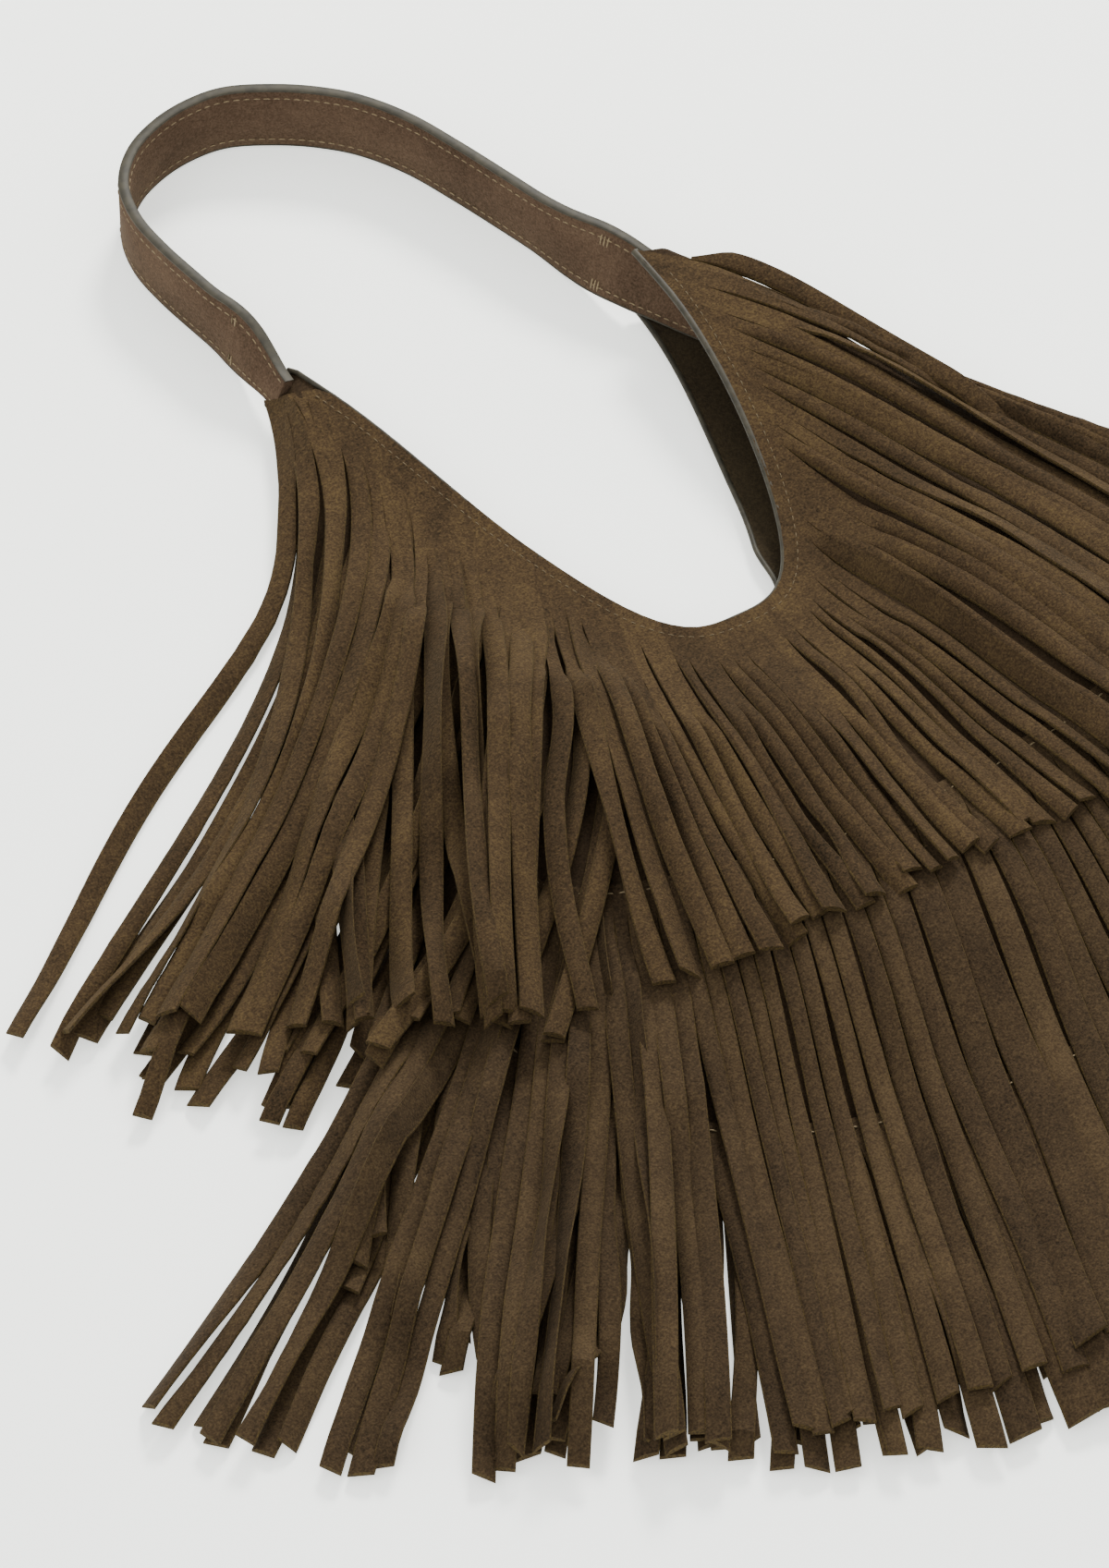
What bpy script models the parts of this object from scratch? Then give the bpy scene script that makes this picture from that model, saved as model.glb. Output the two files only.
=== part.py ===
"""Fringed suede shoulder bag, lying on its back with its strap standing on edge.

The bag is two half-moon suede panels sewn round their outer edge, with a U-shaped
mouth at the top. Three bands of cut fringe are sewn on each side, one below the
other, and a two-layer strap joins the two peaks beside the mouth.
Frame: X is the bag's width, +Y runs from the hem to the strap, +Z is up, and the
origin is the middle of the underside.
"""

from math import pi, radians

import bmesh
import bpy
import numpy as np

MM = 0.001

# Panels, in the bag's own plan: x across, y towards the strap, 0 at the mouth's lowest point
HALF_WIDTH = 168 * MM       # at the widest level
WIDEST_Y = -70 * MM
BOTTOM_Y = -216 * MM
CORNER_POWER = 2.4          # superellipse of the rounded bottom
PEAK_Y = {-1: 168 * MM, 1: 145 * MM}
LOW_SHARE = 0.48            # share of the outline below the widest level
PEAK_SLOPE = 7 * MM         # a peak's outer corner is this much lower than its inner one
PEAK_LEAN = {-1: -22 * MM, 1: -9 * MM}  # the strap pulls both peaks to the left
MOUTH_HALF_WIDTH = 58 * MM  # at MOUTH_Y above the lowest point
MOUTH_Y = 150 * MM
MOUTH_LEAN = -17 * MM

SUEDE = 1.2 * MM
LAYER_GAP = 1.0 * MM        # loose layers lie this far apart
SIDE_TAPER = 0.33           # how fast the sides close above the widest level
SIDE_BOW = 0.5 / (1000 * MM)
SIDE_HEIGHT = 235 * MM      # from the widest level to the peaks

STACK = SUEDE + LAYER_GAP
RIM_Z = 4 * STACK           # above the three back fringes and the back panel
UPPER_BASE = 4 * STACK      # the upper fringe clears the middle one where the ground is steep
CROWN = 14 * MM             # how far the front panel stands above its rim
CROWN_REACH = 75 * MM       # the crown is reached this far from the edge
PEAK_RISE = 18 * MM         # the mouth gapes towards the peaks
RISE_FROM_Y = 30 * MM
RISE_RUN = 100 * MM
RISE_REACH = 20 * MM
SINK_REACH = 30 * MM        # outside the edge the fringes sink by one layer over this distance
PANEL_COLUMNS, PANEL_ROWS = 40, 8

# Fringe
STRIPS = 40
SLIT = 0.9 * MM
UPPER_BAND = 18 * MM        # uncut band below the mouth
SEWN_BAND = 9 * MM          # uncut band at a sewn-on fringe
UPPER_HEM_Y = -136 * MM
UPPER_SPREAD = 285 * MM     # half the width of the upper hem where it fans out on the floor
MIDDLE_SEAM = {"half_width": 122 * MM, "top_y": -45 * MM, "bottom_y": -104 * MM}
LOWER_SEAM_INSET = 9 * MM
LOWER_REACH = 0.52          # share of the outline, from the middle, that carries the lower fringe
MIDDLE_STRIP = 214 * MM
LOWER_STRIP = 130 * MM
FAN = 0.62                  # strips leave the seam at this share of its normal's angle
UPPER_REACH = 0.985         # share of the mouth's edge that carries the upper fringe
SPREAD_POWER = 1.12         # over 1, the outer strips are further apart at the hem
HEM_SWING = 92 * MM         # how far the upper hem swings up at its ends
MOST_EASE = 0.3             # largest share of a strip's top that half a slit may take
UPPER_ROWS, MIDDLE_ROWS, LOWER_ROWS = 9, 6, 4   # cells along a strip that follows the crown

# Strap
STRAP_WIDTH = 27.5 * MM
STRAP_LAYER = 1.8 * MM
STRAP_FOOT = 0.6 * MM       # the lower edge's height above the floor
SHARP_DEGREES = 40
STRAP_GAP = 0.3 * MM
STRAP_STEPS = 56
STRAP_ROUTE = [(-80.5, 169), (-83, 187), (-88, 208), (-92, 230), (-93, 250), (-86, 268), (-68, 281),
               (-46, 285), (-23, 278), (-4, 263), (10, 243), (20, 218), (28, 193), (36, 168), (46.5, 146)]


def smooth(t):
    t = np.clip(t, 0, 1)
    return t * t * (3 - 2 * t)


def side_x(y, side):
    """Where the panels' outer edge lies at level y on the left (-1) or right (+1)."""
    y = np.asarray(y, float)
    above = np.maximum(y - WIDEST_Y, 0)
    half = HALF_WIDTH - SIDE_TAPER * above - SIDE_BOW * above**2
    lean = PEAK_LEAN[side] * (above / SIDE_HEIGHT) ** 1.5
    below = np.clip((WIDEST_Y - y) / (WIDEST_Y - BOTTOM_Y), 0, 1)
    low = HALF_WIDTH * (1 - below**CORNER_POWER) ** (1 / CORNER_POWER)
    return np.where(y > WIDEST_Y, lean + side * half, side * low)


def mouth(s):
    """Point of the mouth's edge, s from -1 at the left peak to +1 at the right."""
    s = np.asarray(s, float)
    top = np.where(s < 0, PEAK_Y[-1], PEAK_Y[1])
    reach = (top / MOUTH_Y) ** (1 / 3)
    y = MOUTH_Y * np.abs(s * reach) ** 3
    return MOUTH_HALF_WIDTH * s * reach + MOUTH_LEAN * (y / PEAK_Y[-1]) ** 2, y


def half_moon(s, half_width, top_y, bottom_y):
    """Point of a hanging arc, s from -1 to 1, and its outward angle from straight down."""
    turn = np.clip(s, -1, 1) * pi / 2
    power = 2 / CORNER_POWER
    x = np.sign(turn) * half_width * np.sin(np.abs(turn)) ** power
    return x, top_y - (top_y - bottom_y) * np.cos(turn) ** power, turn


def outline(s, inset=0.0):
    """Point of the outer edge, pulled inwards by inset, and its outward angle from straight down."""
    s = np.asarray(s, float)
    side = np.where(s < 0, -1, 1)
    x_low, y_low, turn = half_moon(s / LOW_SHARE, HALF_WIDTH - inset, WIDEST_Y, BOTTOM_Y + inset)
    up = np.clip((np.abs(s) - LOW_SHARE) / (1 - LOW_SHARE), 0, 1)
    top = np.where(s < 0, PEAK_Y[-1], PEAK_Y[1]) - PEAK_SLOPE
    y_up = WIDEST_Y + (top - WIDEST_Y) * up
    x_up = np.where(s < 0, side_x(y_up, -1), side_x(y_up, 1)) - side * inset
    low = np.abs(s) < LOW_SHARE
    return np.where(low, x_low, x_up), np.where(low, y_low, y_up), turn


def inside(x, y):
    """Distance of a plan point inside the outer edge, roughly."""
    across = np.minimum(x - side_x(y, -1), side_x(y, 1) - x)
    drop = np.maximum(WIDEST_Y - y, 0) / (WIDEST_Y - BOTTOM_Y)
    radius = (np.abs(x / HALF_WIDTH) ** CORNER_POWER + drop**CORNER_POWER) ** (1 / CORNER_POWER)
    return np.where(y > WIDEST_Y, across, (1 - radius) * (WIDEST_Y - BOTTOM_Y))




def front_height(x, y):
    """Underside of the front panel, and outside the outer edge the floor-side stack it sinks to."""
    depth = inside(x, y)
    crown = CROWN * smooth(depth / CROWN_REACH)
    rise = PEAK_RISE * smooth((y - RISE_FROM_Y) / RISE_RUN) * smooth(depth / RISE_REACH)
    sink = -STACK * smooth(-depth / SINK_REACH)
    return RIM_Z + crown + rise + sink


def flat_height(x, y):
    return np.zeros_like(np.asarray(x, float))


def material(name, colour, roughness):
    made = bpy.data.materials.new(name)
    made.use_nodes = True
    shader = made.node_tree.nodes["Principled BSDF"]
    shader.inputs["Base Color"].default_value = (*colour, 1)
    shader.inputs["Roughness"].default_value = roughness
    shader.inputs["Metallic"].default_value = 0
    return made


def sheet(name, x, y, z, keep, thickness, made):
    """A closed slab of one thickness over a grid of plan points; keep says which cells are there."""
    mesh = bmesh.new()
    rows, columns = x.shape
    layers = [[[None] * columns for _ in range(rows)] for _ in range(2)]

    def corner(layer, i, j):
        if layers[layer][i][j] is None:
            layers[layer][i][j] = mesh.verts.new((x[i, j], y[i, j], z[i, j] + layer * thickness))
        return layers[layer][i][j]

    for i in range(rows - 1):
        for j in range(columns - 1):
            if not keep[i, j]:
                continue
            ring = [(i, j), (i, j + 1), (i + 1, j + 1), (i + 1, j)]
            # both faces are split along the same diagonal, so that they stay parallel on steep ground
            for three in (ring[:3], [ring[0], *ring[2:]]):
                mesh.faces.new([corner(1, *c) for c in three])
                mesh.faces.new([corner(0, *c) for c in reversed(three)])
            beyond = [(i - 1, j), (i, j + 1), (i + 1, j), (i, j - 1)]
            for k, (a, b) in enumerate(beyond):
                if 0 <= a < rows - 1 and 0 <= b < columns - 1 and keep[a, b]:
                    continue
                first, second = ring[k], ring[(k + 1) % 4]
                wall = [corner(0, *first), corner(0, *second), corner(1, *second), corner(1, *first)]
                mesh.faces.new(wall)
    bmesh.ops.recalc_face_normals(mesh, faces=mesh.faces)
    data = bpy.data.meshes.new(name)
    mesh.to_mesh(data)
    mesh.free()
    made_object = bpy.data.objects.new(name, data)
    data.materials.append(made)
    bpy.context.collection.objects.link(made_object)
    return made_object


def panel(name, height, base, made):
    """A half-moon panel: a ring of cells between the mouth and the outer edge."""
    s = np.linspace(-1, 1, PANEL_COLUMNS + 1)
    t = np.linspace(0, 1, PANEL_ROWS + 1)[:, None]
    mouth_x, mouth_y = mouth(s)
    outer_x, outer_y, _ = outline(s)
    x = mouth_x + (outer_x - mouth_x) * t
    y = mouth_y + (outer_y - mouth_y) * t
    return sheet(name, x, y, height(x, y) + base, np.ones((PANEL_ROWS, PANEL_COLUMNS), bool), SUEDE, made)


def fringe(name, top, hem, band, height, base, rows, made):
    """A band cut into strips: top and hem give the ends of the line at s, and band the uncut depth."""
    edges = np.linspace(-1, 1, STRIPS + 1)
    top_x, top_y = top(edges)
    hem_x, hem_y = hem(edges)
    # every strip has two lines of its own, a slit's half width inside its share of the band
    lines = []
    for k in range(STRIPS):
        for a, b in ((k, k + 1), (k + 1, k)):
            ends = []
            for edge_x, edge_y in ((top_x, top_y), (hem_x, hem_y)):
                across = np.array([edge_x[b] - edge_x[a], edge_y[b] - edge_y[a]])
                ease = min(SLIT / 2 / max(np.hypot(*across), SLIT), MOST_EASE)
                ends.append(np.array([edge_x[a], edge_y[a]]) + across * ease)
            lines.append(ends)
    lines = np.array(lines)
    length = np.hypot(*(lines[:, 1] - lines[:, 0]).T)
    share = np.vstack([np.zeros(len(lines)), band / length] +
                      [band / length + (1 - band / length) * k / rows for k in range(1, rows + 1)])
    x = lines[:, 0, 0] + (lines[:, 1, 0] - lines[:, 0, 0]) * share
    y = lines[:, 0, 1] + (lines[:, 1, 1] - lines[:, 0, 1]) * share
    keep = np.ones((rows + 1, 2 * STRIPS - 1), bool)
    keep[1:, 1::2] = False
    return sheet(name, x, y, height(x, y) + base, keep, SUEDE, made)


def upper_top(s):
    return mouth(s * UPPER_REACH)


def upper_hem(s):
    """The long fringe's hem: straight across the front, swinging up where it spreads on the floor."""
    x = UPPER_SPREAD * np.sign(s) * np.abs(s) ** SPREAD_POWER
    return x, UPPER_HEM_Y + HEM_SWING * np.abs(s) ** 3


def middle_seam(s):
    return half_moon(s, **MIDDLE_SEAM)


def lower_seam(s):
    return outline(s * LOWER_REACH, LOWER_SEAM_INSET)


def hanging(seam, strip):
    """The seam and the hem of a sewn fringe, whose strips fan out from the seam's curve."""
    def hem(s):
        x, y, normal = seam(s)
        return x + strip * np.sin(normal * FAN), y - strip * np.cos(normal * FAN)
    return lambda s: seam(s)[:2], hem


def strap_route():
    """Evenly spaced points of the strap's middle line: a smooth curve through its route's points."""
    points = np.array(STRAP_ROUTE) * MM
    ends = np.vstack([2 * points[0] - points[1], points, 2 * points[-1] - points[-2]])
    fine = []
    for a, b, c, d in zip(ends, ends[1:], ends[2:], ends[3:]):
        for t in np.linspace(0, 1, 12, endpoint=False):
            fine.append(0.5 * (2 * b + (c - a) * t + (2 * a - 5 * b + 4 * c - d) * t**2
                               + (3 * b - a - 3 * c + d) * t**3))
    fine = np.array(fine + [points[-1]])
    run = np.r_[0, np.cumsum(np.hypot(*np.diff(fine, axis=0).T))]
    even = np.linspace(0, run[-1], STRAP_STEPS + 1)
    return np.stack([np.interp(even, run, fine[:, k]) for k in (0, 1)], 1)


def strap_layer(name, side, made):
    """One suede layer of the strap: side +1 is the outer face's layer, -1 the lining's."""
    route = strap_route()
    along = np.gradient(route, axis=0)
    along /= np.linalg.norm(along, axis=1)[:, None]
    outward = np.stack([-along[:, 1], along[:, 0]], 1)
    near, far = STRAP_GAP / 2 * side, (STRAP_GAP / 2 + STRAP_LAYER) * side
    mesh = bmesh.new()
    rings = []
    for point, out in zip(route, outward):
        inner, outer = point + out * near, point + out * far
        ring = [(*inner, 0), (*outer, 0), (*outer, STRAP_WIDTH), (*inner, STRAP_WIDTH)]
        rings.append([mesh.verts.new((p[0], p[1], p[2] + STRAP_FOOT)) for p in ring])
    for first, second in zip(rings, rings[1:]):
        for k in range(4):
            mesh.faces.new([first[k], first[(k + 1) % 4], second[(k + 1) % 4], second[k]])
    mesh.faces.new(rings[0])
    mesh.faces.new(rings[-1])
    bmesh.ops.recalc_face_normals(mesh, faces=mesh.faces)
    data = bpy.data.meshes.new(name)
    mesh.to_mesh(data)
    mesh.free()
    data.materials.append(made)
    data.shade_smooth()
    data.set_sharp_from_angle(angle=radians(SHARP_DEGREES))
    made_object = bpy.data.objects.new(name, data)
    bpy.context.collection.objects.link(made_object)
    return made_object


def centre_on_underside(pieces):
    """Moves the pieces together so that the origin is the middle of the bag's underside."""
    points = np.array([v.co for piece in pieces for v in piece.data.vertices])
    low, high = points.min(axis=0), points.max(axis=0)
    shift = np.array([(low[0] + high[0]) / 2, (low[1] + high[1]) / 2, low[2]])
    frame = bpy.data.objects.new("bag_frame", None)
    bpy.context.collection.objects.link(frame)
    frame.location = -shift
    for piece in pieces:
        piece.parent = frame


def build():
    for old in list(bpy.data.objects):
        bpy.data.objects.remove(old, do_unlink=True)
    suede = material("olive_suede", (0.089, 0.060, 0.025), 0.92)
    suede_brown = material("brown_suede", (0.070, 0.043, 0.025), 0.94)
    inner = material("suede_flesh_side", (0.045, 0.030, 0.018), 0.95)
    strap = material("strap_suede", (0.116, 0.080, 0.038), 0.9)

    middle = hanging(middle_seam, MIDDLE_STRIP)
    lower = hanging(lower_seam, LOWER_STRIP)
    upper = (upper_top, upper_hem)
    pieces = [
        fringe("back_fringe_upper", *upper, UPPER_BAND, flat_height, 0, 1, suede),
        fringe("back_fringe_middle", *middle, SEWN_BAND, flat_height, STACK, 1, suede_brown),
        fringe("back_fringe_lower", *lower, SEWN_BAND, flat_height, 2 * STACK, 1, suede_brown),
        panel("back_panel", flat_height, 3 * STACK, inner),
        panel("front_panel", front_height, 0, inner),
        fringe("front_fringe_lower", *lower, SEWN_BAND, front_height, STACK, LOWER_ROWS, suede_brown),
        fringe("front_fringe_middle", *middle, SEWN_BAND, front_height, 2 * STACK, MIDDLE_ROWS,
               suede_brown),
        fringe("front_fringe_upper", *upper, UPPER_BAND, front_height, UPPER_BASE, UPPER_ROWS, suede),
        strap_layer("strap_outer", 1, strap),
        strap_layer("strap_lining", -1, strap),
    ]
    centre_on_underside(pieces)


build()
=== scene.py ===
# %% [markdown]
# # A fringed suede shoulder bag
# The bag lies on its back on a pale table, with its strap standing on edge. It is made of two
# half-moon panels, three rows of cut fringe on each side, and a strap of two layers.
# Everything soft here is thin leather, so each piece is built as a thin closed sheet whose points
# are placed by small functions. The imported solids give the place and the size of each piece.

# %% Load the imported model
from math import cos, pi, radians, sin

import bpy
import numpy as np
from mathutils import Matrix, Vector


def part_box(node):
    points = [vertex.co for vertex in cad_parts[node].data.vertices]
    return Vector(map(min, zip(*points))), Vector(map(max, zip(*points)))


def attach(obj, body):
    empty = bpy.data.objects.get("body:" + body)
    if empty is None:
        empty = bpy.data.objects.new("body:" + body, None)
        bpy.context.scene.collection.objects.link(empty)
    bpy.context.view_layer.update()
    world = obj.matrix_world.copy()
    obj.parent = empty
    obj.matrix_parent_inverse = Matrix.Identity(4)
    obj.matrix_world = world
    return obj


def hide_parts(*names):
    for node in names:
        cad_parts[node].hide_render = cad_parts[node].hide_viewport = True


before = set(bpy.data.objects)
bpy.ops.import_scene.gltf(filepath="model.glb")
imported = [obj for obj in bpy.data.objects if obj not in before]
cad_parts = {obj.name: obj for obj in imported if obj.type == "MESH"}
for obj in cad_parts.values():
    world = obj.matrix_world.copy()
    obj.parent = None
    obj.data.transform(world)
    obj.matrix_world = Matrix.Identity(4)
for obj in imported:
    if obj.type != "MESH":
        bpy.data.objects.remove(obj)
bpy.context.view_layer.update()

MM = 0.001
panel_low, panel_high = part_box("front_panel")
strap_low, strap_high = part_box("strap_outer")

# %% [markdown]
# ## The bag's plan
# The panels are drawn in plan with 0 at the mouth's lowest point, in millimetres, as a pattern
# cutter would. `HALF_WIDTH` comes from the imported front panel, and `SHIFT_Y` sets `BOTTOM_Y` on
# its lowest edge, so the looks follow the solids. The mouth is a U that widens like a cube root,
# and both peaks lean to the left because the strap pulls them.

# %% Plan of the panels
HALF_WIDTH = panel_high.x / MM + 0.7
BOTTOM_Y = -216.0
SHIFT_Y = panel_low.y / MM - BOTTOM_Y
WIDEST_Y = -70.0
CORNER_POWER = 2.4
PEAK_LEFT, PEAK_RIGHT = 168.0, 145.0
SUEDE = 1.3
STRIP = 7.8
rng = np.random.default_rng(7)


def smooth(t):
    t = np.clip(t, 0, 1)
    return t * t * (3 - 2 * t)


def side_x(y, side):
    """The panels' outer edge at level y, on the left (-1) or the right (+1)."""
    above = np.maximum(y - WIDEST_Y, 0)
    half = HALF_WIDTH - 0.33 * above - 0.0005 * above**2
    below = np.clip((WIDEST_Y - y) / (WIDEST_Y - BOTTOM_Y), 0, 1)
    low = HALF_WIDTH * (1 - below**CORNER_POWER) ** (1 / CORNER_POWER)
    lean = (-22 if side < 0 else -9) * (above / 235) ** 1.5
    return np.where(y > WIDEST_Y, side * half + lean, side * low)


def inside(x, y):
    """How far a point lies inside the outer edge, roughly, and below 0 outside it."""
    across = np.minimum(x - side_x(y, -1), side_x(y, 1) - x)
    drop = np.maximum(WIDEST_Y - y, 0) / (WIDEST_Y - BOTTOM_Y)
    radius = (np.abs(x / HALF_WIDTH) ** CORNER_POWER + drop**CORNER_POWER) ** (1 / CORNER_POWER)
    return np.where(y > WIDEST_Y, across, (1 - radius) * (WIDEST_Y - BOTTOM_Y))


def mouth(s):
    """A point of the mouth's edge, s from -1 at the left peak to +1 at the right."""
    s = np.asarray(s, float)
    reach = (np.where(s < 0, PEAK_LEFT, PEAK_RIGHT) / 150) ** (1 / 3)
    y = 150 * np.abs(s * reach) ** 3
    return 58 * s * reach - 17 * (y / PEAK_LEFT) ** 2, y


def half_moon(s, half_width, top_y, bottom_y):
    """A point of a hanging arc, s from -1 to 1, and how far its normal turns from straight down."""
    turn = np.clip(s, -1, 1) * pi / 2
    power = 2 / CORNER_POWER
    x = np.sign(turn) * half_width * np.abs(np.sin(turn)) ** power
    return x, top_y - (top_y - bottom_y) * np.cos(turn) ** power, turn


def outline(s, inset=0.0):
    """A point of the outer edge, s from -1 at the left peak to +1 at the right."""
    s = np.asarray(s, float)
    side = np.where(s < 0, -1, 1)
    x_low, y_low, turn = half_moon(s / 0.48, HALF_WIDTH - inset, WIDEST_Y, BOTTOM_Y + inset)
    up = np.clip((np.abs(s) - 0.48) / 0.52, 0, 1)
    y_up = WIDEST_Y + (np.where(s < 0, PEAK_LEFT, PEAK_RIGHT) - 7 - WIDEST_Y) * up
    x_up = np.where(s < 0, side_x(y_up, -1), side_x(y_up, 1)) - side * inset
    low = np.abs(s) < 0.48
    return np.where(low, x_low, x_up), np.where(low, y_low, y_up), turn


RIM_Z, CROWN, RIGHT_GAPE, LEFT_GAPE = 6.5, 17, 23, 11
MOUTH_LINE = np.stack(mouth(np.linspace(-1, 1, 121)), 1)


def from_mouth(x, y):
    """Distance of plan points from the mouth's edge."""
    x, y = np.asarray(x, float), np.asarray(y, float)
    apart = np.hypot(x[..., None] - MOUTH_LINE[:, 0], y[..., None] - MOUTH_LINE[:, 1])
    return apart.min(axis=-1)


def front_z(x, y):
    """The front panel's top: low at the rim and the mouth's bottom, gaping at the right peak."""
    x, y = np.asarray(x, float), np.asarray(y, float)
    depth = inside(x, y)
    crown = CROWN * smooth(depth / 85) * (0.25 + 0.75 * smooth(from_mouth(x, y) / 75))
    right = RIGHT_GAPE * smooth((y - 5) / 120) * smooth((x + 10) / 45) * smooth((depth + 4) / 18)
    left = LEFT_GAPE * smooth((y - 60) / 90) * smooth((10 - x) / 50) * smooth((depth + 4) / 14)
    return RIM_Z + crown + right + left


print("outer edge at the mouth's level", side_x(np.array([0.0]), 1).round(0))

# %% [markdown]
# ## Stacking thin leather
# Loose strips lie on whatever is below them. A height map of the table holds the top of all that
# has been laid so far. A strip reads the map under its middle, is smoothed along its length
# because suede is a little stiff, and is then written back, so that the next one lies on it.

# %% Height map
CELL = 2.0
MAP_X, MAP_Y = np.arange(-380, 380, CELL), np.arange(-400, 340, CELL)


class Heights:
    def __init__(self):
        self.z = np.zeros((len(MAP_Y), len(MAP_X)))

    def cells(self, x, y):
        i = np.clip(np.round((y - MAP_Y[0]) / CELL).astype(int), 0, len(MAP_Y) - 1)
        j = np.clip(np.round((x - MAP_X[0]) / CELL).astype(int), 0, len(MAP_X) - 1)
        return i, j

    def under(self, x, y):
        return self.z[self.cells(x, y)]

    def lay(self, x, y, top):
        np.maximum.at(self.z, self.cells(x, y), top)

    def lay_ribbon(self, left, right, z):
        """Writes a ribbon's height between its edges, at points close enough to miss no cell."""
        count = len(z)
        fine = np.linspace(0, count - 1, count * 4)
        near = np.minimum(fine.astype(int), count - 2)
        part = (fine - near)[:, None]
        l_fine = left[near] * (1 - part) + left[near + 1] * part
        r_fine = right[near] * (1 - part) + right[near + 1] * part
        spread = l_fine[None] + (r_fine - l_fine)[None] * np.linspace(0.1, 0.9, 7)[:, None, None]
        z_fine = np.interp(fine, np.arange(count), z)
        self.lay(spread[..., 0], spread[..., 1], np.broadcast_to(z_fine, spread.shape[:2]))


def laid(raw, stiffness):
    """The raw heights under a strip, bridged by a strip that can't follow every step."""
    z = raw.copy()
    for _ in range(stiffness):
        mid = z.copy()
        mid[1:-1] = 0.25 * z[:-2] + 0.5 * z[1:-1] + 0.25 * z[2:]
        z = np.maximum(raw, mid)
    return z


def draped(z, reach, softness):
    """The surface of a soft skin over the map: its peaks widened by reach cells, then blurred."""
    for _ in range(reach):
        z = np.maximum.reduce([z] + [np.roll(z, way, axis) for way in (1, -1) for axis in (0, 1)])
    for axis in (0, 1):
        for _ in range(softness):
            z = (z + np.roll(z, 1, axis) + np.roll(z, -1, axis)) / 3
    return z


heights = Heights()

# %% [markdown]
# ## Strips
# A fringe is one piece of suede: an uncut band, and strips that hang from it. Each strip is a
# ribbon with nine points around. Where it isn't cut yet, its two edges are shared with its
# neighbours, so that part reads as one skin. Past the start of a slit the edge frees itself, gets
# a small chamfer and its own height. The chamfers and the narrow sides are the raw cut, which is
# matted and has no nap, so they get the second material. A point attribute holds a strip's tone.

# %% Ribbon maker
class Fringe:
    """Collects the points and faces of one fringe."""

    def __init__(self):
        self.points, self.faces, self.kinds, self.tones = [], [], [], []

    def ribbon(self, left, right, z_left, z_right, crown, cut_left, cut_right, tone):
        base, count = len(self.points), 9
        across = (right - left) / np.maximum(np.linalg.norm(right - left, axis=1), 1e-6)[:, None]
        for j in range(len(left)):
            a, b = CHAMFER * cut_left[j] + 0.01, CHAMFER * cut_right[j] + 0.01
            in_left, in_right = left[j] + across[j] * a, right[j] - across[j] * b
            self.points += [(*left[j], z_left[j] - 1.2 * a), (*in_left, z_left[j])]
            for share, rise in ((0.25, 0.75), (0.5, 1.0), (0.75, 0.75)):
                spot = left[j] + (right[j] - left[j]) * share
                level = z_left[j] + (z_right[j] - z_left[j]) * share
                self.points.append((*spot, level + crown[j] * rise))
            self.points += [
                (*in_right, z_right[j]), (*right[j], z_right[j] - 1.2 * b),
                (*right[j], z_right[j] - SUEDE), (*left[j], z_left[j] - SUEDE)]
            self.tones += [tone] * count
        for j in range(len(left) - 1):
            here, after = base + count * j, base + count * (j + 1)
            for k in range(count):
                k2 = (k + 1) % count
                self.faces.append((here + k, here + k2, after + k2, after + k))
                self.kinds.append(0 if k in (1, 2, 3, 4, 7) else 1)
        last = base + count * (len(left) - 1)
        self.faces.append(tuple(base + k for k in reversed(range(count))))
        self.faces.append(tuple(last + k for k in range(count)))
        self.kinds += [1, 1]


def mesh_piece(name, points, faces, kinds, materials, tones=None, sharp=34):
    """An object from points in plan millimetres, placed in the frame."""
    data = bpy.data.meshes.new(name)
    placed = (np.array(points, float) + (0, SHIFT_Y, 0)) * MM
    data.from_pydata(placed.tolist(), [], faces)
    for each in materials:
        data.materials.append(each)
    data.polygons.foreach_set("material_index", np.array(kinds, np.int32))
    if tones is not None:
        values = np.array(tones, np.float32)
        data.attributes.new("tone", "FLOAT", "POINT").data.foreach_set("value", values)
    data.shade_smooth()
    data.set_sharp_from_angle(angle=radians(sharp))
    data.update()
    made = bpy.data.objects.new(name, data)
    bpy.context.collection.objects.link(made)
    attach(made, "root")
    return made


# %% [markdown]
# ## Laying a fringe
# Neighbouring strips move together, in locks of a few, so a strip's sideways sway comes from a
# smooth random curve over the strips' numbers plus a little of its own. A neat strip keeps its
# place between two slits, which are closed for most of their length and gape here and there. A
# loose one keeps its cut width and lies wherever it fell, on top of the ones laid before it.

# %% Laying strips
CHAMFER = 0.38
SLIT_HALF = 0.34
SEGMENT = 5.5


def path(start, end, turn_start, turn_end, count):
    """A smooth plan curve; turns are angles from straight down, positive to the right."""
    start, end = np.array(start), np.array(end)
    reach = np.hypot(*(end - start)) / 3
    a = start + reach * np.array([sin(turn_start), -cos(turn_start)])
    b = end - reach * np.array([sin(turn_end), -cos(turn_end)])
    t = np.linspace(0, 1, count)[:, None]
    return (1 - t) ** 3 * start + 3 * t * (1 - t) ** 2 * a + 3 * t**2 * (1 - t) * b + t**3 * end


def locks(count, strips_a_lock, size):
    """Smooth random values, one a strip, that change over a few strips."""
    knots = rng.normal(size=int(count / strips_a_lock) + 3) * size
    at = np.arange(count) / strips_a_lock
    near = at.astype(int)
    part = smooth(at - near)
    return knots[near] * (1 - part) + knots[near + 1] * part


def clumps(count, pitch, pull, jitter):
    """Sideways shifts that draw strips towards the middle of a lock of three to six."""
    shifts, k = np.zeros(count), 0
    while k < count:
        size = int(rng.integers(3, 7))
        centre = k + (size - 1) / 2 + rng.normal() * 0.6
        for j in range(k, min(k + size, count)):
            shifts[j] = -pull * pitch * (j - centre) + jitter * rng.normal()
        k += size
    return shifts


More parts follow.
